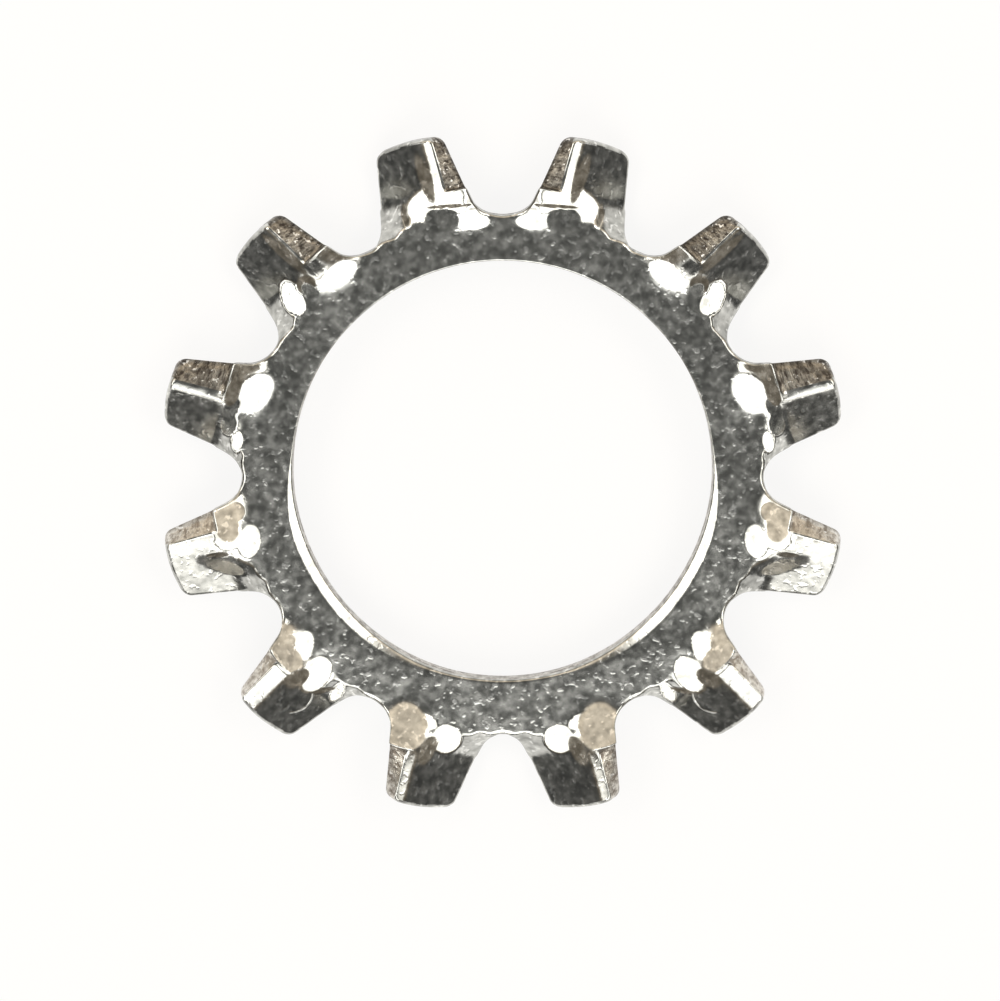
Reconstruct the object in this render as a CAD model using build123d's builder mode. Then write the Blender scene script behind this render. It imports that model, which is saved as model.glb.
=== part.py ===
from build123d import *

import os
from math import atan, cos, radians, sin, sqrt, tan

# External-tooth lock washer, stamped from one sheet of spring steel and plated.
# Millimetres. +Z is up, and the origin is the centre of the bore at half the sheet's thickness.
# Each tooth is twisted about its own radial axis, so that one edge bites the nut above and the
# other bites the part below. A tooth is drawn along +X, with its edge towards +Y raised.

# Driving dimensions
bore_diameter = 16.5
rim_width = 1.85  # from the bore to the floor of a gap
tooth_length = 3.3  # from the floor of a gap to the tips
sheet_thickness = 1.15
teeth_per_side = 6  # the teeth left of the YZ plane are twisted the other way
tooth_twist = 40.0  # degrees
tooth_tip_width = 2.55  # of the sheet between a tooth's flanks, at the tip
flank_taper = 13.0  # degrees that each flank leans towards the tooth's axis
fold_width = 1.7  # of the flat rim on a tooth's axis, from the bore to the fold of the ramps
root_length = 0.6  # of the twisted root on a tooth's axis, from the fold to the blade
ramp_length = 1.45  # of the ramps along a tooth's edges, from the fold to the blade
tip_corner_radius = 0.45
rolled_edge_radius = 0.12  # of the upper edges, which the punch draws down

# The rim is cut into equal sectors, one to a tooth.
tooth_pitch = 180 / teeth_per_side
half_pitch = radians(tooth_pitch / 2)
bore_radius = bore_diameter / 2
floor_radius = bore_radius + rim_width
tip_radius = floor_radius + tooth_length
fold_x = bore_radius + fold_width
crease_axis_x = fold_x + root_length
crease_edge_x = fold_x + ramp_length
twist = radians(tooth_twist)
taper = tan(radians(flank_taper))

# Seen from above, half a blade's width is part face and part cut edge.
tip_half = tooth_tip_width / 2
crease_half = tip_half + (tip_radius - crease_edge_x) * taper
seen_tip = tip_half * cos(twist) + sheet_thickness / 2 * sin(twist)
seen_lean = atan(taper * cos(twist))

# The floor of a gap, seen from above, is a full round between the flanks of two teeth.
flanks_meet_x = (seen_tip + tip_radius * tan(seen_lean)) / (tan(half_pitch) + tan(seen_lean))
flanks_meet = flanks_meet_x / cos(half_pitch)
gap_sine = sin(half_pitch + seen_lean)
round_radius = gap_sine * (floor_radius - flanks_meet) / (1 - gap_sine)
round_distance = floor_radius + round_radius

# One sector: a slice of the flat rim with the twisted root and the straight blade of its tooth
with BuildPart() as sector:
    # The blade is tilted about the tooth's axis, and its root end is creased along a V.
    blade_plane = Plane(origin=(0, 0, 0), x_dir=(1, 0, 0), z_dir=(0, -sin(twist), cos(twist)))
    tip_start_x = sqrt(tip_radius**2 - tip_half**2)
    with BuildSketch(blade_plane):
        with BuildLine():
            Polyline(
                (tip_start_x, -tip_half),
                (crease_edge_x, -crease_half),
                (crease_axis_x, 0),
                (crease_edge_x, crease_half),
                (tip_start_x, tip_half),
            )
            ThreePointArc((tip_start_x, tip_half), (tip_radius, 0), (tip_start_x, -tip_half))
        make_face()
        fillet(vertices().sort_by(Axis.X)[-2:], tip_corner_radius)
    extrude(amount=sheet_thickness / 2, both=True)
    blade_top = faces().sort_by(Axis((0, 0, 0), blade_plane.z_dir))[-1]
    crease_edges = 2
    fillet(blade_top.edges().sort_by(Axis.X)[crease_edges:], rolled_edge_radius)
    # The flat rim, up to the fold
    fold_half = fold_x * tan(half_pitch)
    with BuildSketch(Plane.XY):
        with BuildLine():
            bore_arc = CenterArc((0, 0), bore_radius, -tooth_pitch / 2, tooth_pitch)
            Polyline(bore_arc @ 0, (fold_x, -fold_half), (fold_x, fold_half), bore_arc @ 1)
        make_face()
    extrude(amount=sheet_thickness / 2, both=True)
    # The ramps: the sheet climbs from the fold to the crease on one side, and drops on the other.
    for side in (1, -1):
        corners = []
        for height in (sheet_thickness / 2, -sheet_thickness / 2):
            crease_axis = Vector(crease_axis_x, 0, height)
            crease_edge = Vector(crease_edge_x, side * crease_half, height)
            corners += [Vector(fold_x, 0, height), Vector(fold_x, side * fold_half, height)]
            corners += [blade_plane.from_local_coords(end) for end in (crease_axis, crease_edge)]
        ConvexPolyhedron(corners)
    # The round floors of the gaps on both sides of the tooth
    with BuildSketch(Plane.XY):
        with PolarLocations(round_distance, 2, start_angle=-tooth_pitch / 2, angular_range=2 * tooth_pitch):
            Circle(round_radius)
    extrude(amount=tip_radius, both=True, mode=Mode.SUBTRACT)

# The same sector with its tooth twisted the other way
with BuildPart() as mirrored_sector:
    mirror(sector.part, about=Plane.XZ)

# The whole washer
with BuildPart() as lock_washer:
    first_tooth = (tooth_pitch - 180) / 2
    with PolarLocations(0, teeth_per_side, start_angle=first_tooth, angular_range=180):
        add(sector.part)
    with PolarLocations(0, teeth_per_side, start_angle=first_tooth + 180, angular_range=180):
        add(mirrored_sector.part)
    rim_top = faces().filter_by(Axis.Z).sort_by(Axis.Z)[-1]
    fillet(rim_top.inner_wires().edges(), rolled_edge_radius)
lock_washer.part.label = "lock_washer"

os.makedirs("parts", exist_ok=True)
export_step(lock_washer.part, "parts/lock_washer.step")
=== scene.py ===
from math import atan, atan2, cos, exp, hypot, pi, radians, sin, sqrt, tan

import bmesh
import bpy
from mathutils import Matrix, Vector


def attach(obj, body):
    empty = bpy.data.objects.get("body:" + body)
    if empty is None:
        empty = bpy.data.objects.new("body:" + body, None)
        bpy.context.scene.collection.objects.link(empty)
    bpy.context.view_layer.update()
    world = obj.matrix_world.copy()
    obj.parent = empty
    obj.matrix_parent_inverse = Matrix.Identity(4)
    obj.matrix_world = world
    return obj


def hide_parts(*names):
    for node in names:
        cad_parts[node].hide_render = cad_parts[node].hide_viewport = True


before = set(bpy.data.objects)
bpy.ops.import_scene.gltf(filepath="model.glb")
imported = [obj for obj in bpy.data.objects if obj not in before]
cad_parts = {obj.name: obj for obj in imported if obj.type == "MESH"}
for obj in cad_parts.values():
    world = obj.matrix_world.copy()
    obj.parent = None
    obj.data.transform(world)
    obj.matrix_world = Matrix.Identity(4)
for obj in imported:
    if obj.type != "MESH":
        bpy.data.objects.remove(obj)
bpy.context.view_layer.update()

# A toothed lock washer, lying flat. Its skin is one mesh: the six measured teeth of the right half, each
# with its share of the rim, and their mirror images on the left, as in the photo. In a tooth's own frame
# X runs out along its axis, Y towards its raised side and Z up, in millimetres.
MM = 0.001  # one millimetre in Blender's metres

# ---------------------------------------------------------------- sizes in mm, as in the part's source
FLOOR_RADIUS = 10.1  # floors of the gaps
TIP_RADIUS = 13.4
SHEET = 1.15
PITCH_DEGREES = 30  # from one tooth to the next
PITCH = radians(PITCH_DEGREES)
TIP_HALF = 1.275  # half a tooth's width at its tip
TAPER = tan(radians(13))  # of each flank
TWIST = radians(40)

# half the seen width of a tooth: straight flanks, and a round floor in each gap
SEEN_TIP = TIP_HALF * cos(TWIST) + SHEET / 2 * sin(TWIST)
SEEN_LEAN = atan(TAPER * cos(TWIST))
MEET_X = (SEEN_TIP + TIP_RADIUS * tan(SEEN_LEAN)) / (tan(PITCH / 2) + tan(SEEN_LEAN))
GAP_SINE = sin(PITCH / 2 + SEEN_LEAN)
ROUND = GAP_SINE * (FLOOR_RADIUS - MEET_X / cos(PITCH / 2)) / (1 - GAP_SINE)
ROUND_X = (FLOOR_RADIUS + ROUND) * cos(PITCH / 2)
ROUND_Y = (FLOOR_RADIUS + ROUND) * sin(PITCH / 2)
ROUND_END_X = ROUND_X - ROUND * sin(SEEN_LEAN)

# ---------------------------------------------------------------- the teeth of the right half, top to bottom
# place: of the tooth's axis, in degrees from +X
# painted_light: light and shade painted on its cut walls, from 0, dark brown as if shaded, to 1, bright as
# if lit
# twist: of its blade, in degrees
# shift: of the whole tooth sideways, towards its raised side (mm)
# ridge, edge: from the tooth's axis to where the bevel along its raised edge begins and ends (mm)
# bevel: slope of that bevel
# along, across: how far the fold lies outwards and sideways from its usual place (mm)
# up: how far the blade is raised (mm)
# cap: how far the fold's top lies over RAMP_TOP (mm)
# start, end: how far outwards the fold starts and ends from its usual places (mm)
# flats: the shallow flats that the tool pressed at the fold, each one laid over those before it:
#     along and across to its middle, half its length and half its width (mm), its turn (degrees),
#     its slopes along and across the tooth, and how soft its rim is (share of its size)
TEETH = [
    dict(
        place=75, painted_light=0.02, twist=39.5, shift=-0.20, ridge=0.54, edge=0.90, bevel=0.30,
        along=0.05, across=0.19, up=0.055, cap=0.00, start=0.04, end=0.14,
        flats=[
            (10.86, 0.42, 0.68, 1.20, -6, -0.18, 0.28, 0.16),
            (9.81, 1.51, 0.30, 0.58, 14, 0.30, 0.18, 0.22),
            (10.18, 0.46, 0.48, 0.64, 6, -0.06, 0.04, 0.16),
            (10.45, 1.30, 0.26, 0.23, -11, -0.12, 0.32, 0.16),
            (11.86, 0.29, 1.02, 0.25, -4, 0.10, 0.55, 0.20),
            (10.60, 0.96, 0.09, 0.98, 11, 0.10, 0.55, 0.30),
            (10.69, -0.83, 0.48, 0.11, 8, 0.10, 0.55, 0.25),
        ]),
    dict(
        place=45, painted_light=0.01, twist=39.0, shift=-0.20, ridge=0.56, edge=0.66, bevel=0.30,
        along=0.01, across=0.13, up=0.071, cap=0.06, start=-0.07, end=0.00,
        flats=[
            (10.58, -0.69, 0.74, 0.44, 22, 0.20, -0.30, 0.12),
            (9.99, 1.22, 0.40, 0.76, 6, 0.25, 0.15, 0.22),
            (10.60, 0.08, 0.35, 0.40, -1, 0.01, 0.54, 0.16),
            (10.34, 0.00, 0.36, 0.23, 0, -0.08, 0.06, 0.16),
            (12.00, 0.36, 1.22, 0.20, -3, 0.08, 0.55, 0.20),
        ]),
    dict(
        place=15, painted_light=0.05, twist=36.0, shift=-0.14, ridge=0.20, edge=0.48, bevel=0.05,
        along=0.01, across=-0.07, up=-0.010, cap=-0.01, start=0.05, end=0.03,
        flats=[
            (10.27, -1.24, 0.24, 0.45, -9, 0.39, -0.04, 0.16),
            (10.06, 0.79, 0.59, 0.80, 12, 0.19, 0.26, 0.24),
            (10.79, -0.01, 0.29, 0.49, 13, 0.45, 0.65, 0.16),
            (10.96, 0.82, 0.32, 0.73, -3, 0.62, -0.11, 0.16),
            (10.74, -0.68, 0.33, 0.45, 2, 0.51, 0.62, 0.16),
        ]),
    dict(
        place=-15, painted_light=0.80, twist=30.0, shift=-0.06, ridge=0.80, edge=0.88, bevel=0.40,
        along=0.13, across=0.15, up=-0.002, cap=-0.07, start=-0.04, end=-0.07,
        flats=[
            (10.14, 0.12, 0.47, 0.68, 27, 0.34, 0.16, 0.22),
            (10.30, 1.41, 0.35, 0.40, 0, 0.34, -0.43, 0.16),
            (10.91, 0.48, 0.52, 0.46, -5, 0.40, 0.00, 0.16),
            (11.44, -0.50, 0.97, 0.30, 34, 0.12, 0.77, 0.16),
            (10.77, 1.16, 0.51, 0.84, 4, 0.61, -0.36, 0.20),
            (11.46, -0.04, 0.48, 0.12, 12, 0.34, 0.50, 0.25),
        ]),
    dict(
        place=-45, painted_light=1.0, twist=37.0, shift=-0.06, ridge=0.50, edge=1.17, bevel=0.26,
        along=-0.02, across=-0.09, up=-0.039, cap=0.06, start=0.03, end=-0.08,
        flats=[
            (10.62, -0.30, 0.81, 0.56, -11, 0.26, 0.28, 0.16),
            (10.12, 0.83, 0.58, 0.36, -21, 0.39, 0.13, 0.16),
            (10.88, 0.92, 0.43, 0.66, 1, 0.80, -0.02, 0.30),
            (10.58, -1.40, 0.51, 0.25, -13, 0.22, 0.27, 0.12),
            (11.22, 0.14, 0.53, 0.32, 10, 0.25, 0.53, 0.16),
            (10.91, -0.98, 0.46, 0.11, 29, 0.25, 0.53, 0.25),
        ]),
    dict(
        place=-75, painted_light=0.70, twist=39.0, shift=-0.16, ridge=0.60, edge=0.97, bevel=0.31,
        along=0.01, across=0.07, up=0.008, cap=0.02, start=0.05, end=0.00,
        flats=[
            (10.51, -0.42, 0.61, 0.57, 6, 0.12, 0.33, 0.16),
            (10.01, 0.47, 0.28, 0.44, 8, 0.32, 0.24, 0.16),
            (10.29, 1.20, 0.85, 0.75, -3, 0.80, 0.02, 0.35),
            (10.30, -0.72, 0.36, 0.25, -7, 0.12, 0.33, 0.16),
            (11.10, 0.22, 0.62, 0.30, 11, 0.10, 0.56, 0.16),
        ]),
]
SHIFT_FROM, SHIFT_FULL = 9.3, 10.6  # where the sideways shift sets in
INLAND_END, INLAND_OUT = 0.80, 0.97  # share of the way to the neighbour where a tooth's relief fades out

CREASE_X = 11.17  # the sharp crease across a tooth, where its blade begins
BLADE_FROM, BLADE_FULL = CREASE_X - 0.02, CREASE_X + 0.10  # where the bevelled blade takes over
STEP = 0.06  # half the length over which the raised edge steps in at the crease
STEP_EASE = 0.05  # share of the step that is left flat at its ends
CORNER_LOW = 0.50  # radii of the tip corners
CORNER_HIGH = 0.30
CORNER_LOW_BACK = 0.07  # how far they stay inside the tip's circle
CORNER_HIGH_BACK = 0.02

# the fold: how the sheet leaves the rim's plane, at four places across the tooth, from its raised side (mm)
NODES = (1.555, 0.583, -0.194, -1.166)
FOLD_START = (9.35, 9.35, 9.79, 10.08)
FOLD_END = (11.22, 11.34, 11.28, 11.26)
FOLD_LEAST = 0.3  # its least length
FOLD_LOW_SIDE, FOLD_HIGH_SIDE = -1.7, 1.9  # beyond these places across the tooth it stays the same
SOFT_START = (0.45, 0.82, 0.84, -0.21)  # share of the fold over which its slope grows
SOFT_LEAST, SOFT_MOST = 0.03, 0.97  # limits of that share
SOFT_END_HIGH = 0.02  # share over which the slope dies, at the raised side
SOFT_END_LOW = 0.44  # and at the lowered side
RAMP_TOP = 0.80  # the fold's greatest height
RAMP_KNEE = 0.10  # how round the bend to that height is
RIDGE_KNEE = 0.05  # and the ridge of the bevel
LEVEL_OFFSET = 0.02  # how far every tooth is raised at its axis
# round swellings that the twist leaves on every fold: along, across, height, half length, half width (mm)
SWELLINGS = [
    (9.82, 0.39, 0.027, 0.49, 0.36),
    (10.53, 0.19, -0.050, 0.26, 0.31),
    (10.31, -0.80, -0.008, 0.34, 0.34),
    (11.05, 0.03, 0.050, 0.43, 0.36),
]

# rolled edges: widths in mm
FLANK_ROLL = 0.10
RAMP_ROLL = 0.12
BEVEL_ROLL = 0.06
FLOOR_ROLL = 0.20
TIP_ROLL = 0.17
TIP_DEPTH = 2.6  # how much deeper than wide the roll at the tips is
UNDER_ROLL = 0.05
ROLL_MOST = 0.45  # share of the wall's height that a roll takes at most

# the bore's edge: widths in mm, and pairs of azimuths in degrees between which a change sets in
BORE_MEAN = 8.14
BORE_RISE = 0.20  # how far the hole lies towards the top
BORE_TIGHT = 0.05  # how much smaller it is at the lower right and left
TIGHT_ABOVE, TIGHT_BELOW = (0, -30), (-80, -40)
BORE_ROLL = 0.05
BORE_ROLL_MORE = 0.10  # how much wider the roll is at the bottom
ROLL_ABOVE = (-44, -64)
CONE_WIDTH = 0.42  # the cone that the punch pressed, at the lower right and left
CONE_ABOVE, CONE_BELOW = (14, -20), (-88, -46)
CONE_SLOPE = tan(radians(22))
CONE_KNEE = 0.03
BORE_MARGIN = 0.04  # flat rim that belongs to the bore's edge

# the curved scratch across the blades of the two lower teeth at -45 degrees (mm, degrees)
SCRATCH_CENTRE = (8.224, -8.471)
SCRATCH_RADIUS = 0.824
SCRATCH_WIDTH = 0.040
SCRATCH_FROM, SCRATCH_TO = -174, -84
SCRATCH_SOFT = 6

# how finely the skin is meshed: points along the outline of half a tooth, columns across it, and rows
FLOOR_STEPS = 14
RAMP_STEPS = 14
STEP_STEPS = 6
BLADE_STEPS = 8
CORNER_STEPS = 7
FLOOR_END = FLOOR_STEPS
RAMP_END = FLOOR_END + RAMP_STEPS
STEP_END = RAMP_END + STEP_STEPS
BLADE_END = STEP_END + BLADE_STEPS
CREASE_LOW = 0.18  # how near the crease the points lie closer together, at the lowered side
CREASE_HIGH = 0.10  # and at the raised side (mm)
COLUMNS = 48
COLUMN_CROWD = 0.28  # how much closer together the rim's columns lie near the tooth's axis
FAN_END = FLOOR_END + 4  # outline point from which the columns are evenly spaced
RING_ROWS = 12
ROW_CROWD = 0.8  # below one, the rim's rows lie closer together outwards
ROLL_BENDS = 6  # steps round a rolled edge
WALL_SHARES = (0.3, 0.65, 1.0)  # levels of the cut wall under it
BORE_BENDS = 10  # steps from the flat rim to the bore's wall
BORE_CROWD = 1.4  # above one, they lie closer together at the wall
BORE_WALLS = (0.4, 1.0)  # levels of the bore's wall
MERGE = 0.0004  # points nearer than this are one (mm)

PLATED, CUT = 0, 1  # material slots
BORE_PAINTED_LIGHT = 0.5  # the bore's wall sits halfway between the painted shade and the painted light of the teeth's walls, the same all round


def smooth(value, low, high):
    """From 0 at low to 1 at high, either way round."""
    t = min(max((value - low) / (high - low), 0), 1)
    return t * t * (3 - 2 * t)


def soft_min(a, b, knee):
    """The lesser of two values, with a round bend of the given size where they cross."""
    d = a - b
    return b + 0.5 * (d - sqrt(d * d + knee * knee))


def through(values, y):
    """The cubic through the given values at the nodes across the tooth."""
    total = 0
    for i, value in enumerate(values):
        term = value
        for j, node in enumerate(NODES):
            if j != i:
                term *= (y - node) / (NODES[i] - node)
        total += term
    return total


def rise(t, start, end):
    """From 0 to 1, with a slope that grows over the share start and dies over the share end."""
    if t <= 0:
        return 0.0
    if t >= 1:
        return 1.0
    area = 1 - start / 2 - end / 2
    if t < start:
        value = t * t / (2 * start)
    elif t < 1 - end:
        value = t - start / 2
    else:
        value = area - (1 - t) ** 2 / (2 * end)
    return value / area


# ---------------------------------------------------------------- the upper face of a tooth
def fold(tooth, x, y):
    """Height that the twist gives to the upper face."""
    slope = tan(radians(tooth["twist"]))
    level = LEVEL_OFFSET + tooth["up"] - slope * tooth["across"]
    bevel = slope * tooth["ridge"] + level + tooth["bevel"] * (y - tooth["ridge"])
    bevelled = soft_min(slope * y + level, bevel, RIDGE_KNEE)
    beyond = smooth(x, BLADE_FROM, BLADE_FULL)
    x -= tooth["along"]
    y -= tooth["across"]
    capped = soft_min(slope * y + LEVEL_OFFSET + tooth["up"], RAMP_TOP + tooth["cap"], RAMP_KNEE)
    yc = min(max(y, FOLD_LOW_SIDE), FOLD_HIGH_SIDE)
    start = through(FOLD_START, yc) + tooth["start"]
    end = max(through(FOLD_END, yc) + tooth["end"], start + FOLD_LEAST)
    soft_start = min(max(through(SOFT_START, yc), SOFT_LEAST), SOFT_MOST)
    across = (yc - NODES[3]) / (NODES[0] - NODES[3])
    soft_end = max(SOFT_END_LOW + (SOFT_END_HIGH - SOFT_END_LOW) * across, SOFT_END_HIGH)
    share = rise((x - start) / (end - start), soft_start, min(soft_end, 1 - soft_start))
    height = (capped + (bevelled - capped) * beyond) * share
    for along, aside, swell, half_length, half_width in SWELLINGS:
        height += swell * exp(-0.5 * (((x - along) / half_length) ** 2 + ((y - aside) / half_width) ** 2))
    return height


def inland(x, y):
    """One over a tooth, falling to zero where two neighbours meet."""
    bearing = abs(atan2(y, x)) / (PITCH / 2)
    return 1 - smooth(bearing, INLAND_END, INLAND_OUT)


def relief(tooth, x, y):
    """Height of the upper face over the flat rim's, flat again between the teeth."""
    return fold(tooth, x, y) * inland(x, y)


def pressed(tooth, x, y):
    """How the pressed flats lean at a point, and how much of the fold's own leaning they leave."""
    lean = Vector((0, 0, 0))
    left = 1.0
    for along, across, half_length, half_width, turn, slope_along, slope_across, soft in tooth["flats"]:
        dx = x - along
        dy = y - across
        c = cos(radians(turn))
        s = sin(radians(turn))
        reach = hypot((dx * c + dy * s) / half_length, (dy * c - dx * s) / half_width)
        weight = smooth(reach, 1 + soft, 1 - soft)
        lean = lean * (1 - weight) + Vector((-slope_along, -slope_across, 1)).normalized() * weight
        left *= 1 - weight
    return lean, left


# ---------------------------------------------------------------- outlines of a tooth's upper face
def seen_half(x):
    """Half the seen width at a distance along the tooth."""
    if x < ROUND_END_X:
        return ROUND_Y - sqrt(max(ROUND ** 2 - (x - ROUND_X) ** 2, 0))
    return SEEN_TIP + (TIP_RADIUS - x) * tan(SEEN_LEAN)


def floor_points():
    """The round floor of the gap, from the middle between two teeth to the flank."""
    start = pi + PITCH / 2
    end = 1.5 * pi - SEEN_LEAN
    points = []
    for i in range(FLOOR_STEPS):
        a = start + (end - start) * i / FLOOR_STEPS
        points.append((ROUND_X + ROUND * cos(a), ROUND_Y + ROUND * sin(a)))
    return points


def corner_points(x, y, lean, radius):
    """A round corner from the flank at (x, y), whose lean is given, to the tip."""
    centre_y = y - radius / cos(lean)
    points = []
    for i in range(CORNER_STEPS + 1):
        a = (pi / 2 - lean) * (1 - i / CORNER_STEPS)
        points.append((x + radius * cos(a), centre_y + radius * sin(a)))
    return points


def low_outline():
    """The lowered side: gap floor, flank, tip corner. Half widths are positive."""
    corner_x = TIP_RADIUS - CORNER_LOW - CORNER_LOW_BACK
    xs = []
    for i in range(RAMP_STEPS):
        xs.append(ROUND_END_X + (CREASE_X - CREASE_LOW - ROUND_END_X) * i / RAMP_STEPS)
    for i in range(STEP_STEPS):
        xs.append(CREASE_X - CREASE_LOW + 2 * CREASE_LOW * i / STEP_STEPS)
    for i in range(BLADE_STEPS):
        xs.append(CREASE_X + CREASE_LOW + (corner_x - CREASE_X - CREASE_LOW) * i / BLADE_STEPS)
    points = floor_points()
    points += [(x, seen_half(x)) for x in xs]
    points += corner_points(corner_x, seen_half(corner_x), SEEN_LEAN, CORNER_LOW)
    return points


def high_outline(tooth):
    """The raised side: gap floor, flank of the ramp, step in at the crease, bevel's edge, tip corner."""
    points = floor_points()
    edge = tooth["edge"]
    corner_x = sqrt(TIP_RADIUS ** 2 - edge ** 2) - CORNER_HIGH - CORNER_HIGH_BACK
    for i in range(RAMP_STEPS):
        x = ROUND_END_X + (CREASE_X - CREASE_HIGH - ROUND_END_X) * i / RAMP_STEPS
        points.append((x, seen_half(x)))
    wide = seen_half(CREASE_X)
    for i in range(STEP_STEPS):
        t = i / (STEP_STEPS - 1)
        y = wide + (edge - wide) * smooth(t, STEP_EASE, 1 - STEP_EASE)
        points.append((CREASE_X + STEP * (2 * t - 1), y))
    for i in range(1, BLADE_STEPS + 1):
        points.append((CREASE_X + STEP + (corner_x - CREASE_X - STEP) * i / (BLADE_STEPS + 1), edge))
    points += corner_points(corner_x, edge, 0.0, CORNER_HIGH)
    return points


def outline_normals(points):
    """Unit vectors that point out of an outline."""
    out = [Vector((cos(PITCH / 2), sin(PITCH / 2)))]
    for before, after in zip(points, points[2:]):
        d = Vector(after) - Vector(before)
        d.normalize()
        out.append(Vector((-d.y, d.x)))
    out.append(Vector((1.0, 0.0)))
    return out


def inset(points, normals, widths):
    """An outline moved inwards by a width at each point."""
    return [Vector(p) - normal * width for p, normal, width in zip(points, normals, widths)]


LOW = low_outline()
LOW_NORMALS = outline_normals(LOW)
COUNT = len(LOW)


def roll_at(k, flank, ramp):
    """Width of the rolled edge at outline point k: gap floor, then ramp, blade and tip."""
    if k < FLOOR_END:
        return FLOOR_ROLL + (ramp - FLOOR_ROLL) * smooth(k, 0, FLOOR_END)
    if k < BLADE_END:
        return ramp + (flank - ramp) * smooth(k, RAMP_END - 2, RAMP_END + 1)
    return flank + (TIP_ROLL - flank) * smooth(k, BLADE_END, COUNT - 1)


# ---------------------------------------------------------------- the bore's edge, by azimuth in degrees
def bore_radius(azimuth):
    """The bore is a little off centre, towards the top."""
    tight = BORE_TIGHT * smooth(azimuth, *TIGHT_ABOVE) * smooth(azimuth, *TIGHT_BELOW)
    return BORE_MEAN + BORE_RISE * sin(radians(azimuth)) - tight


def bore_roll(azimuth):
    """Width of the bore's rolled upper edge."""
    return BORE_ROLL + BORE_ROLL_MORE * smooth(azimuth, *ROLL_ABOVE)


def bore_cone(azimuth):
    """Width of the cone that the punch pressed round the bore, at the lower right and left."""
    return CONE_WIDTH * smooth(azimuth, *CONE_ABOVE) * smooth(azimuth, *CONE_BELOW)


def bore_rim(azimuth):
    """From the bore's wall out to the flat of the rim."""
    return bore_cone(azimuth) + bore_roll(azimuth) + BORE_MARGIN


def bore_drop(azimuth, out):
    """How far the pressed cone and the rolled edge lie under the flat, at a distance out from the wall."""
    inside = bore_cone(azimuth) - out
    drop = CONE_SLOPE * 0.5 * (inside + hypot(inside, CONE_KNEE))
    roll = bore_roll(azimuth)
    if out < roll:
        drop += roll - sqrt(roll ** 2 - (roll - out) ** 2)
    return drop


# ---------------------------------------------------------------- the mesh
def even_column(j):
    """Place of a column across its sector, from -1 to 1."""
    return 2 * j / COLUMNS - 1


def ring_column(j):
    """The same on the rim, where columns lie closer together near the tooth's axis."""
    v = even_column(j)
    return v * (1 - COLUMN_CROWD + COLUMN_CROWD * v * v)


RING_COLUMNS = [ring_column(j) for j in range(COLUMNS + 1)]


def tooth_rim(grid):
    """The rim of a face beyond the ring, from its lowered side round the tip to its raised side."""
    rows = grid[RING_ROWS:]
    return [row[0] for row in rows] + rows[-1][1:-1] + [row[-1] for row in reversed(rows)]


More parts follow.
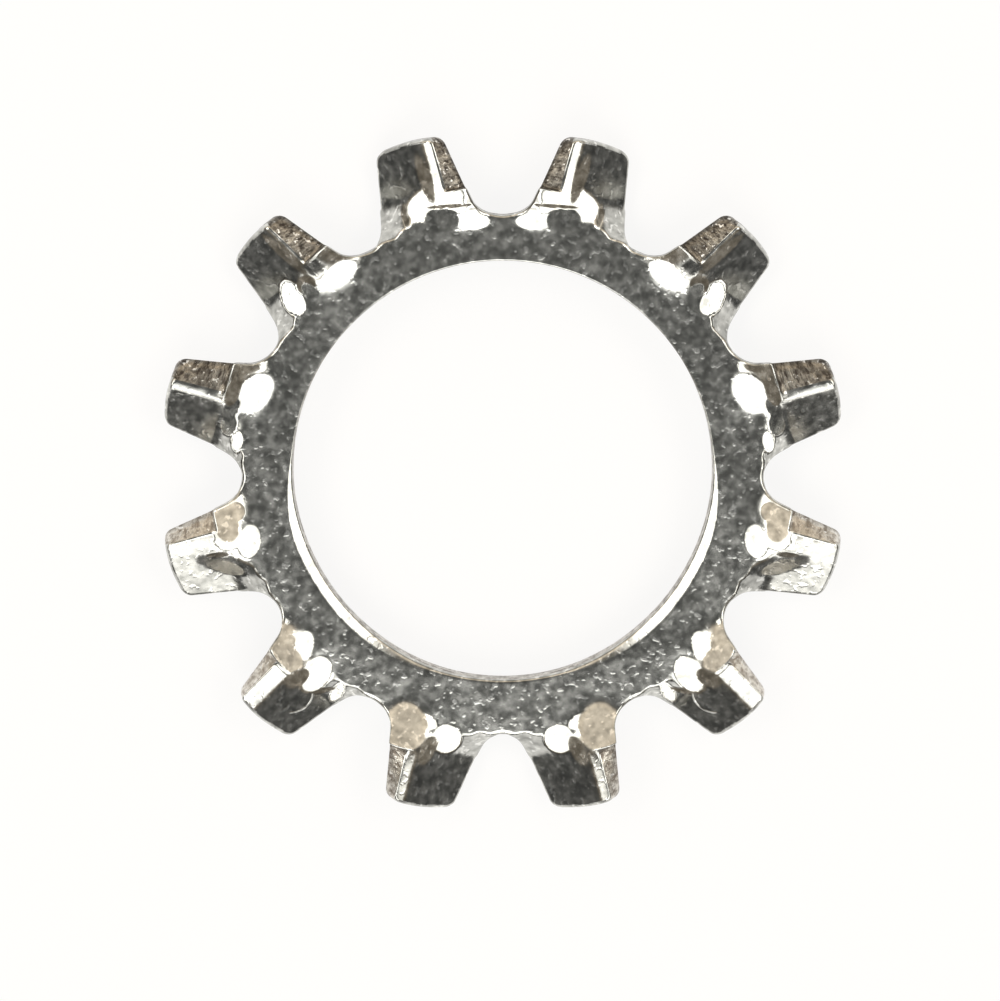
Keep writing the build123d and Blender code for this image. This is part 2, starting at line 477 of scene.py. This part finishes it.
class Sector:
    """One tooth and its share of the rim, meshed in rows from the bore to the tip."""

    def __init__(self, bm, layers, tooth, mirrored):
        self.bm = bm
        self.grain, self.lean, self.pressed = layers
        self.tooth = tooth
        self.mirrored = mirrored
        self.turn = Matrix.Rotation(radians(tooth["place"]), 3, "Z")

    def azimuth(self, v):
        """Azimuth in degrees at a place across the sector, from -1 to 1."""
        return self.tooth["place"] + v * PITCH_DEGREES / 2

    def turned(self, vector):
        """A vector of the tooth's own frame in the washer's."""
        vector = self.turn @ vector
        if self.mirrored:
            vector.x = -vector.x
        return vector

    def vertex(self, x, y, z, along=0.0, across=0.0, painted_light=0.0):
        """A vertex; along and across are its place on a cut wall, for the wall's grain, and the last
        argument is the light and shade painted on that wall.
        """
        shift = self.tooth["shift"] * smooth(x, SHIFT_FROM, SHIFT_FULL) * inland(x, y)
        v = self.bm.verts.new(self.turned(Vector((x, y + shift, z))) * MM)
        v[self.grain] = Vector((along, across, painted_light or self.tooth["painted_light"]))
        return v

    def top_vertex(self, x, y):
        """A vertex of the upper face, which also notes how the pressed flats lean there."""
        v = self.vertex(*self.top(x, y))
        lean, left = pressed(self.tooth, x, y)
        v[self.pressed] = 1 - left
        if left < 1:
            v[self.lean] = self.turned(lean)
        return v

    def top(self, x, y):
        """A point of the upper face."""
        return Vector((x, y, SHEET / 2 + relief(self.tooth, x, y)))

    def under(self, x, y):
        """A point of the underside, the upper face turned half round about the tooth's axis."""
        return Vector((x, y, -SHEET / 2 - relief(self.tooth, x, -y)))

    def strips(self, levels, cut_from=None):
        """Faces between rows of vertices; the cut wall starts at the row cut_from."""
        for i, (level, following) in enumerate(zip(levels, levels[1:])):
            slot = PLATED if cut_from is None or i < cut_from else CUT
            for n in range(len(level) - 1):
                face = self.bm.faces.new((level[n], following[n], following[n + 1], level[n + 1]))
                face.smooth = True
                face.material_index = slot

    def rows(self, low, high, tip_inset, bore_inset):
        """Points of one face in rows; low and high are its rims, low with positive widths."""
        outer = low[0].length
        out = []
        for i in range(RING_ROWS):
            row = []
            for v in RING_COLUMNS:
                azimuth = self.azimuth(v)
                inner = bore_radius(azimuth) + bore_inset(azimuth)
                r = inner + (outer - inner) * (i / RING_ROWS) ** ROW_CROWD
                a = v * PITCH / 2
                row.append(Vector((r * cos(a), r * sin(a))))
            out.append(row)
        for k in range(COUNT):
            bulge = self.bulge(low, high, k, outer, tip_inset)
            fan = 1 - smooth(k, 0, FAN_END)
            row = []
            for j in range(COLUMNS + 1):
                v = even_column(j)
                v += (RING_COLUMNS[j] - v) * fan
                t = (v + 1) / 2
                x = low[k].x + (high[k].x - low[k].x) * t + bulge * (1 - v * v)
                row.append(Vector((x, -low[k].y + (high[k].y + low[k].y) * t)))
            out.append(row)
        return out

    def bulge(self, low, high, k, outer, tip_inset):
        """How far a row's middle runs ahead of its ends, so that rows start and end as arcs."""
        first = outer - (low[0].x + high[0].x) / 2
        last = TIP_RADIUS - tip_inset - (low[-1].x + high[-1].x) / 2
        return first * (1 - smooth(k, 0, FAN_END)) + last * smooth(k, STEP_END, COUNT - 1)

    def build(self):
        """Both faces, and the walls round the tooth and in the bore."""
        high_line = high_outline(self.tooth)
        high_normals = outline_normals(high_line)
        low_widths = [roll_at(k, FLANK_ROLL, RAMP_ROLL) for k in range(COUNT)]
        high_widths = [roll_at(k, BEVEL_ROLL, RAMP_ROLL) for k in range(COUNT)]
        low = inset(LOW, LOW_NORMALS, low_widths)
        high = inset(high_line, high_normals, high_widths)
        top_xy = self.rows(low, high, TIP_ROLL, bore_rim)
        sharp = [UNDER_ROLL] * COUNT
        low = inset(high_line, high_normals, sharp)
        high = inset(LOW, LOW_NORMALS, sharp)
        under_xy = self.rows(low, high, UNDER_ROLL, lambda azimuth: UNDER_ROLL)
        top = [[self.top_vertex(*p) for p in row] for row in top_xy]
        under = [[self.vertex(*self.under(*p)) for p in row] for row in under_xy]
        self.strips(top)
        self.strips(under)
        self.tooth_wall(top, under, top_xy, under_xy, high_line, low_widths, high_widths)
        self.bore_wall(top, under)

    def tooth_wall(self, top, under, top_xy, under_xy, high_line, low_widths, high_widths):
        """Rolled upper edge, cut wall and nearly sharp lower edge round the tooth."""
        tip = [Vector((p.x + TIP_ROLL, p.y)) for p in top_xy[-1][1:-1]]
        under_tip = [Vector((p.x + UNDER_ROLL, p.y)) for p in under_xy[-1][1:-1]]
        low_side = [Vector((x, -y)) for x, y in LOW]
        high_side = [Vector((x, y)) for x, y in reversed(high_line)]
        under_low_side = [Vector((x, -y)) for x, y in high_line]
        under_high_side = [Vector((x, y)) for x, y in reversed(LOW)]
        edges = [self.top(*p) for p in low_side + tip + high_side]
        feet = [self.under(*p) for p in under_low_side + under_tip + under_high_side]
        deeper = [1 + (TIP_DEPTH - 1) * smooth(k, BLADE_END, COUNT - 1) for k in range(COUNT)]
        low_depths = [width * more for width, more in zip(low_widths, deeper)]
        high_depths = [width * more for width, more in zip(high_widths, deeper)]
        depths = low_depths + [TIP_ROLL * TIP_DEPTH] * len(tip) + high_depths[::-1]
        alongs = [0.0]
        for a, b in zip(edges, edges[1:]):
            alongs.append(alongs[-1] + (b - a).length)
        inner = [self.top(*p) for p in tooth_rim(top_xy)]
        lines = []
        for rim, edge, foot, depth, along in zip(inner, edges, feet, depths, alongs):
            down = foot - edge
            start = edge + down * min(depth / down.length, ROLL_MOST)
            end = foot - down * (UNDER_ROLL / down.length)
            lines.append((rim, edge, start, end, along))
        levels = [tooth_rim(top)]
        for i in range(1, ROLL_BENDS + 1):
            t = i / ROLL_BENDS
            level = []
            for rim, edge, start, end, along in lines:
                point = rim * (1 - t) ** 2 + edge * (2 * t * (1 - t)) + start * t * t
                level.append(self.vertex(*point, along, 0.0))
            levels.append(level)
        for share in WALL_SHARES:
            level = []
            for rim, edge, start, end, along in lines:
                level.append(self.vertex(*(start + (end - start) * share), along, share))
            levels.append(level)
        levels.append(tooth_rim(under))
        self.strips(levels, ROLL_BENDS)

    def bore_wall(self, top, under):
        """Pressed cone, rolled edge and wall of the bore."""
        levels = [top[0]]
        for i in range(1, BORE_BENDS + len(BORE_WALLS) + 1):
            level = []
            for v in RING_COLUMNS:
                azimuth = self.azimuth(v)
                a = v * PITCH / 2
                rim = bore_rim(azimuth)
                out = rim * (1 - min(i / BORE_BENDS, 1)) ** BORE_CROWD
                drop = bore_drop(azimuth, out) - bore_drop(azimuth, rim)
                share = 0.0
                if i > BORE_BENDS:
                    share = BORE_WALLS[i - BORE_BENDS - 1]
                    drop += (SHEET - UNDER_ROLL - drop) * share
                r = bore_radius(azimuth) + out
                along = radians(azimuth) * r
                level.append(self.vertex(r * cos(a), r * sin(a), SHEET / 2 - drop, along, share, BORE_PAINTED_LIGHT))
            levels.append(level)
        levels.append(under[0])
        self.strips(levels, BORE_BENDS)


def washer_mesh():
    """The whole skin as one closed mesh, with the pressed flats in its normals."""
    bm = bmesh.new()
    for name in ("grain", "lean"):
        bm.verts.layers.float_vector.new(name)
    bm.verts.layers.float.new("pressed")
    vectors = bm.verts.layers.float_vector
    layers = vectors["grain"], vectors["lean"], bm.verts.layers.float["pressed"]
    for tooth in TEETH:
        for mirrored in (False, True):
            Sector(bm, layers, tooth, mirrored).build()
    bmesh.ops.remove_doubles(bm, verts=bm.verts, dist=MERGE * MM)
    bmesh.ops.recalc_face_normals(bm, faces=bm.faces)
    mesh = bpy.data.meshes.new("washer_skin")
    bm.to_mesh(mesh)
    bm.free()
    # the pressed flats are a tenth of a millimetre deep at most, so they are in the normals alone
    leans = [Vector(entry.vector) for entry in mesh.attributes["lean"].data]
    shares = [entry.value for entry in mesh.attributes["pressed"].data]
    normals = [v.normal * (1 - share) + lean for v, lean, share in zip(mesh.vertices, leans, shares)]
    mesh.normals_split_custom_set_from_vertices([normal.normalized() for normal in normals])
    for name in ("lean", "pressed"):
        mesh.attributes.remove(mesh.attributes[name])
    return mesh


# ---------------------------------------------------------------- node helpers
WHITE = (1, 1, 1, 1)
BLACK = (0, 0, 0, 1)


class Nodes:
    """Shorthand for building a node tree."""

    def __init__(self, tree):
        self.tree = tree

    def add(self, kind, inputs=(), **settings):
        made = self.tree.nodes.new(kind)
        for key, value in settings.items():
            setattr(made, key, value)
        for key, value in dict(inputs).items():
            self.feed(made.inputs[key], value)
        return made

    def feed(self, socket, value):
        if isinstance(value, bpy.types.NodeSocket):
            self.tree.links.new(value, socket)
        else:
            socket.default_value = value

    def math(self, operation, a, b=0.0):
        return self.add("ShaderNodeMath", {0: a, 1: b}, operation=operation).outputs[0]

    def vector_math(self, operation, a, b):
        return self.add("ShaderNodeVectorMath", {0: a, 1: b}, operation=operation).outputs["Vector"]

    def ramp(self, value, low, high, to_low=0.0, to_high=1.0, smoothly=True):
        """From to_low at low to to_high at high, and steady beyond them."""
        kind = "SMOOTHSTEP" if smoothly else "LINEAR"
        made = self.add("ShaderNodeMapRange", {"Value": value, "From Min": low, "From Max": high,
                                               "To Min": to_low, "To Max": to_high},
                        interpolation_type=kind)
        return made.outputs["Result"]

    def window(self, value, low, high, soft):
        """One between low and high, fading to zero over soft."""
        opening = self.ramp(value, low - soft, low + soft)
        closing = self.ramp(value, high - soft, high + soft, to_low=1.0, to_high=0.0)
        return self.math("MULTIPLY", opening, closing)

    def mix(self, factor, a, b, blend="MIX"):
        made = self.add("ShaderNodeMix", data_type="RGBA", blend_type=blend)
        # the sockets of a colour mix have the same names as those of the other kinds, so they go by number
        for socket, value in ((0, factor), (6, a), (7, b)):
            self.feed(made.inputs[socket], value)
        return made.outputs[2]

    def noise(self, vector, scale, detail=2.0, roughness=0.5):
        made = self.add("ShaderNodeTexNoise", {"Vector": vector, "Scale": scale, "Detail": detail,
                                               "Roughness": roughness})
        return made.outputs["Fac"]

    def bump(self, height, distance, strength=1.0, normal=None):
        made = self.add("ShaderNodeBump", {"Height": height, "Distance": distance, "Strength": strength})
        if normal is not None:
            self.feed(made.inputs["Normal"], normal)
        return made.outputs["Normal"]


def new_material(name):
    """A material, its nodes and its shader."""
    material = bpy.data.materials.new(name)
    material.use_nodes = True
    nodes = Nodes(material.node_tree)
    return material, nodes, material.node_tree.nodes["Principled BSDF"]


# ---------------------------------------------------------------- materials
SPECKS_APART = (0.31, 0.17, 0.05)  # moves the specks' noise away from the mottling's (m)
GRAIN_STRETCH = (4.5, 2.2, 1.0)  # streaks per mm along and per wall height across a cut wall
PAPER_GLOW = 0.86  # how much of the paper is shown plain white; the rest keeps the shadow


def scratch(n, place):
    """The fine curved scratch on the lower teeth: a thin ring, cut off at both ends."""
    split = n.add("ShaderNodeSeparateXYZ", {0: place})
    x = n.math("SUBTRACT", n.math("ABSOLUTE", split.outputs["X"]), SCRATCH_CENTRE[0] * MM)
    y = n.math("SUBTRACT", split.outputs["Y"], SCRATCH_CENTRE[1] * MM)
    flat = n.add("ShaderNodeCombineXYZ", {0: x, 1: y, 2: 0.0}).outputs[0]
    length = n.add("ShaderNodeVectorMath", {0: flat}, operation="LENGTH").outputs["Value"]
    off = n.math("ABSOLUTE", n.math("SUBTRACT", length, SCRATCH_RADIUS * MM))
    line = n.ramp(off, 0.0, SCRATCH_WIDTH * MM, to_low=1.0, to_high=0.0)
    angle = n.math("MULTIPLY", n.math("ARCTAN2", y, x), 180 / pi)
    return n.math("MULTIPLY", line, n.window(angle, SCRATCH_FROM, SCRATCH_TO, SCRATCH_SOFT))


def plated_face():
    """Nickel plate over a slightly pitted sheet: clouds, soft mottling and brighter specks, whose brightness
    is partly a painted glint and partly real bumps.
    """
    dull = (0.37, 0.37, 0.345, 1)
    clear = (0.79, 0.785, 0.74, 1)
    bright = (0.95, 0.945, 0.90, 1)
    clouded = (0.80, 0.80, 0.80, 1)
    material, n, shader = new_material("plated_face")
    place = n.add("ShaderNodeTexCoord").outputs["Object"]
    moved = n.vector_math("ADD", place, SPECKS_APART)
    cloud = n.noise(place, scale=650.0)
    mottle = n.noise(place, scale=2900.0, detail=1.5)
    specks = n.noise(moved, scale=4000.0, detail=1.0)
    tint = n.mix(n.ramp(mottle, 0.28, 0.74, smoothly=False), dull, clear)
    # painted glints: the specks' colour is raised towards white, while their bumps below also catch the
    # lamps
    tint = n.mix(n.ramp(specks, 0.56, 0.74), tint, bright)
    shade = n.mix(n.ramp(cloud, 0.32, 0.68), clouded, WHITE)
    shader.inputs["Metallic"].default_value = 1.0
    n.feed(shader.inputs["Base Color"], n.mix(1.0, tint, shade, "MULTIPLY"))
    n.feed(shader.inputs["Roughness"], n.ramp(mottle, 0.30, 0.70, to_low=0.15, to_high=0.21))
    normal = n.bump(n.ramp(specks, 0.56, 0.72), 0.0028 * MM)
    normal = n.bump(mottle, 0.003 * MM, normal=normal)
    normal = n.bump(scratch(n, place), 0.012 * MM, normal=normal)
    n.feed(shader.inputs["Normal"], normal)
    return material


def sheared_wall():
    """Cut edge of the sheet: torn across its thickness, with the plate thin on the high spots, and painted
    light and shade: dark on some teeth, bright on others.
    """
    # each pair of colours is for walls in painted shade, at 0, and in painted light, at 1
    torn = (0.05, 0.042, 0.036, 1), (0.38, 0.33, 0.28, 1)
    plate = (0.36, 0.33, 0.28, 1), (0.92, 0.88, 0.80, 1)
    worn = (0.09, 0.082, 0.072, 1), (0.36, 0.32, 0.26, 1)
    bright = (0.95, 0.93, 0.88, 1)
    material, n, shader = new_material("sheared_wall")
    place = n.add("ShaderNodeTexCoord").outputs["Object"]
    cut = n.add("ShaderNodeAttribute", attribute_name="grain").outputs["Vector"]
    # the light and shade painted on each wall, from 0, shaded, to 1, lit
    painted_light = n.add("ShaderNodeSeparateXYZ", {0: cut}).outputs["Z"]
    along = n.vector_math("MULTIPLY", cut, GRAIN_STRETCH)
    streak = n.noise(along, scale=1.0, detail=4.0, roughness=0.7)
    patch = n.noise(place, scale=1500.0)
    speck = n.noise(place, scale=5200.0, detail=2.5, roughness=0.6)
    tint = n.mix(n.ramp(streak, 0.38, 0.62), n.mix(painted_light, *torn), n.mix(painted_light, *plate))
    tint = n.mix(n.ramp(patch, 0.45, 0.65, to_high=0.5), tint, n.mix(painted_light, *worn))
    tint = n.mix(n.ramp(speck, 0.60, 0.68), tint, bright)
    shader.inputs["Metallic"].default_value = 1.0
    n.feed(shader.inputs["Base Color"], tint)
    n.feed(shader.inputs["Roughness"], n.ramp(streak, 0.3, 0.7, to_low=0.45, to_high=0.25))
    normal = n.bump(streak, 0.06 * MM, strength=0.8)
    normal = n.bump(speck, 0.03 * MM, strength=0.8, normal=normal)
    n.feed(shader.inputs["Normal"], normal)
    return material


def pale_paper():
    """Matt paper that shows white to the camera and in the metal, and keeps a faint shadow."""
    paper = (0.90, 0.85, 0.77, 1)
    material, n, shader = new_material("pale_paper")
    shader.inputs["Base Color"].default_value = paper
    shader.inputs["Roughness"].default_value = 0.9
    shader.inputs["Specular IOR Level"].default_value = 0.0
    rays = n.add("ShaderNodeLightPath").outputs
    seen = n.math("MAXIMUM", rays["Is Camera Ray"], rays["Is Glossy Ray"])
    seen = n.math("MAXIMUM", seen, rays["Is Transmission Ray"])
    white = n.add("ShaderNodeEmission", {"Color": WHITE, "Strength": 1.0}).outputs[0]
    glow = n.math("MULTIPLY", seen, PAPER_GLOW)
    mixed = n.add("ShaderNodeMixShader", {0: glow, 1: shader.outputs[0], 2: white}).outputs[0]
    output = material.node_tree.nodes["Material Output"]
    n.feed(output.inputs["Surface"], mixed)
    return material


washer = bpy.data.objects.new("washer_skin", washer_mesh())
bpy.context.collection.objects.link(washer)
washer.data.materials.append(plated_face())
washer.data.materials.append(sheared_wall())
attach(washer, "root")
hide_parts("lock_washer")

# ---------------------------------------------------------------- floor
FLOOR_HALF = 10.0  # metres
CORNERS = [(-FLOOR_HALF, -FLOOR_HALF, 0), (FLOOR_HALF, -FLOOR_HALF, 0),
           (FLOOR_HALF, FLOOR_HALF, 0), (-FLOOR_HALF, FLOOR_HALF, 0)]

floor_mesh = bpy.data.meshes.new("floor")
floor_mesh.from_pydata(CORNERS, [], [(0, 1, 2, 3)])
floor = bpy.data.objects.new("floor", floor_mesh)
bpy.context.collection.objects.link(floor)
floor.location.z = min(v.co.z for v in washer.data.vertices)
floor.data.materials.append(pale_paper())

# ---------------------------------------------------------------- light: a dark tent with soft boxes
# Bearings are mirrored left to right: -90 is the camera's bottom, 0 both sides, 90 the top.
# bearing from, to; angle from straight up, from, to; softness of the four edges; colour
BOXES = [
    (-130, -56, 15, 52, 4, (3.0, 3.0, 2.95)),  # in front
    (-130, -66, 58, 66, 4, (3.0, 3.0, 2.95)),  # a strip under it
    (-31, 50, 27, 49, 4, (3.0, 2.97, 2.85)),  # at both sides
    (22, 130, 42, 80, 12, (0.86, 0.75, 0.61)),  # a warm board behind
]
# angle from straight up, colour of the tent
TENT = [
    (0, (0.160, 0.161, 0.158)),
    (20, (0.157, 0.158, 0.154)),
    (50, (0.200, 0.175, 0.145)),
    (58, (0.300, 0.250, 0.190)),
    (68, (0.135, 0.128, 0.118)),
    (80, (0.108, 0.109, 0.108)),
    (90, (0.108, 0.109, 0.108)),
]

world = bpy.data.worlds.new("studio")
bpy.context.scene.world = world
world.use_nodes = True
n = Nodes(world.node_tree)
split = n.add("ShaderNodeSeparateXYZ", {0: n.add("ShaderNodeTexCoord").outputs["Generated"]})
zenith = n.math("MULTIPLY", n.math("ARCCOSINE", split.outputs["Z"]), 180 / pi)
side = n.math("ABSOLUTE", split.outputs["X"])
bearing = n.math("MULTIPLY", n.math("ARCTAN2", split.outputs["Y"], side), 180 / pi)
tent = n.add("ShaderNodeValToRGB", {"Fac": n.math("DIVIDE", zenith, 180.0)})
while len(tent.color_ramp.elements) < len(TENT):
    tent.color_ramp.elements.new(0.5)
for element, (angle, colour) in zip(tent.color_ramp.elements, TENT):
    element.position = angle / 180
    element.color = (*colour, 1)
light = tent.outputs["Color"]
for bearing_from, bearing_to, angle_from, angle_to, soft, colour in BOXES:
    across = n.window(bearing, bearing_from, bearing_to, soft)
    mask = n.math("MULTIPLY", across, n.window(zenith, angle_from, angle_to, soft))
    light = n.mix(1.0, light, n.mix(mask, BLACK, (*colour, 1)), "ADD")
seen = n.add("ShaderNodeLightPath").outputs["Is Camera Ray"]
background = world.node_tree.nodes["Background"]
n.feed(background.inputs["Color"], n.mix(seen, light, WHITE))
background.inputs["Strength"].default_value = 1.0

# ---------------------------------------------------------------- camera
PIXELS = 1000
PIXELS_PER_MM = 25.73
TILT = radians(6)  # from straight down, towards the picture's top
DISTANCE = 160.0  # mm
AIM = Vector((-2.75 / PIXELS_PER_MM, -25.5 / PIXELS_PER_MM, 0))  # the picture's middle, from the washer's
SENSOR = 36  # mm
CLIP_START = 0.01  # metres

camera = bpy.data.objects.new("camera", bpy.data.cameras.new("camera"))
bpy.context.collection.objects.link(camera)
bpy.context.scene.camera = camera
back = Vector((0, sin(TILT), cos(TILT)))
right = Vector((1, 0, 0))
turn = Matrix((right, back.cross(right), back)).transposed()
camera.matrix_world = Matrix.Translation((AIM + DISTANCE * back) * MM) @ turn.to_4x4()
camera.data.sensor_width = SENSOR
camera.data.lens = SENSOR * DISTANCE * PIXELS_PER_MM / PIXELS
camera.data.clip_start = CLIP_START

bpy.context.scene.view_settings.view_transform = "Standard"
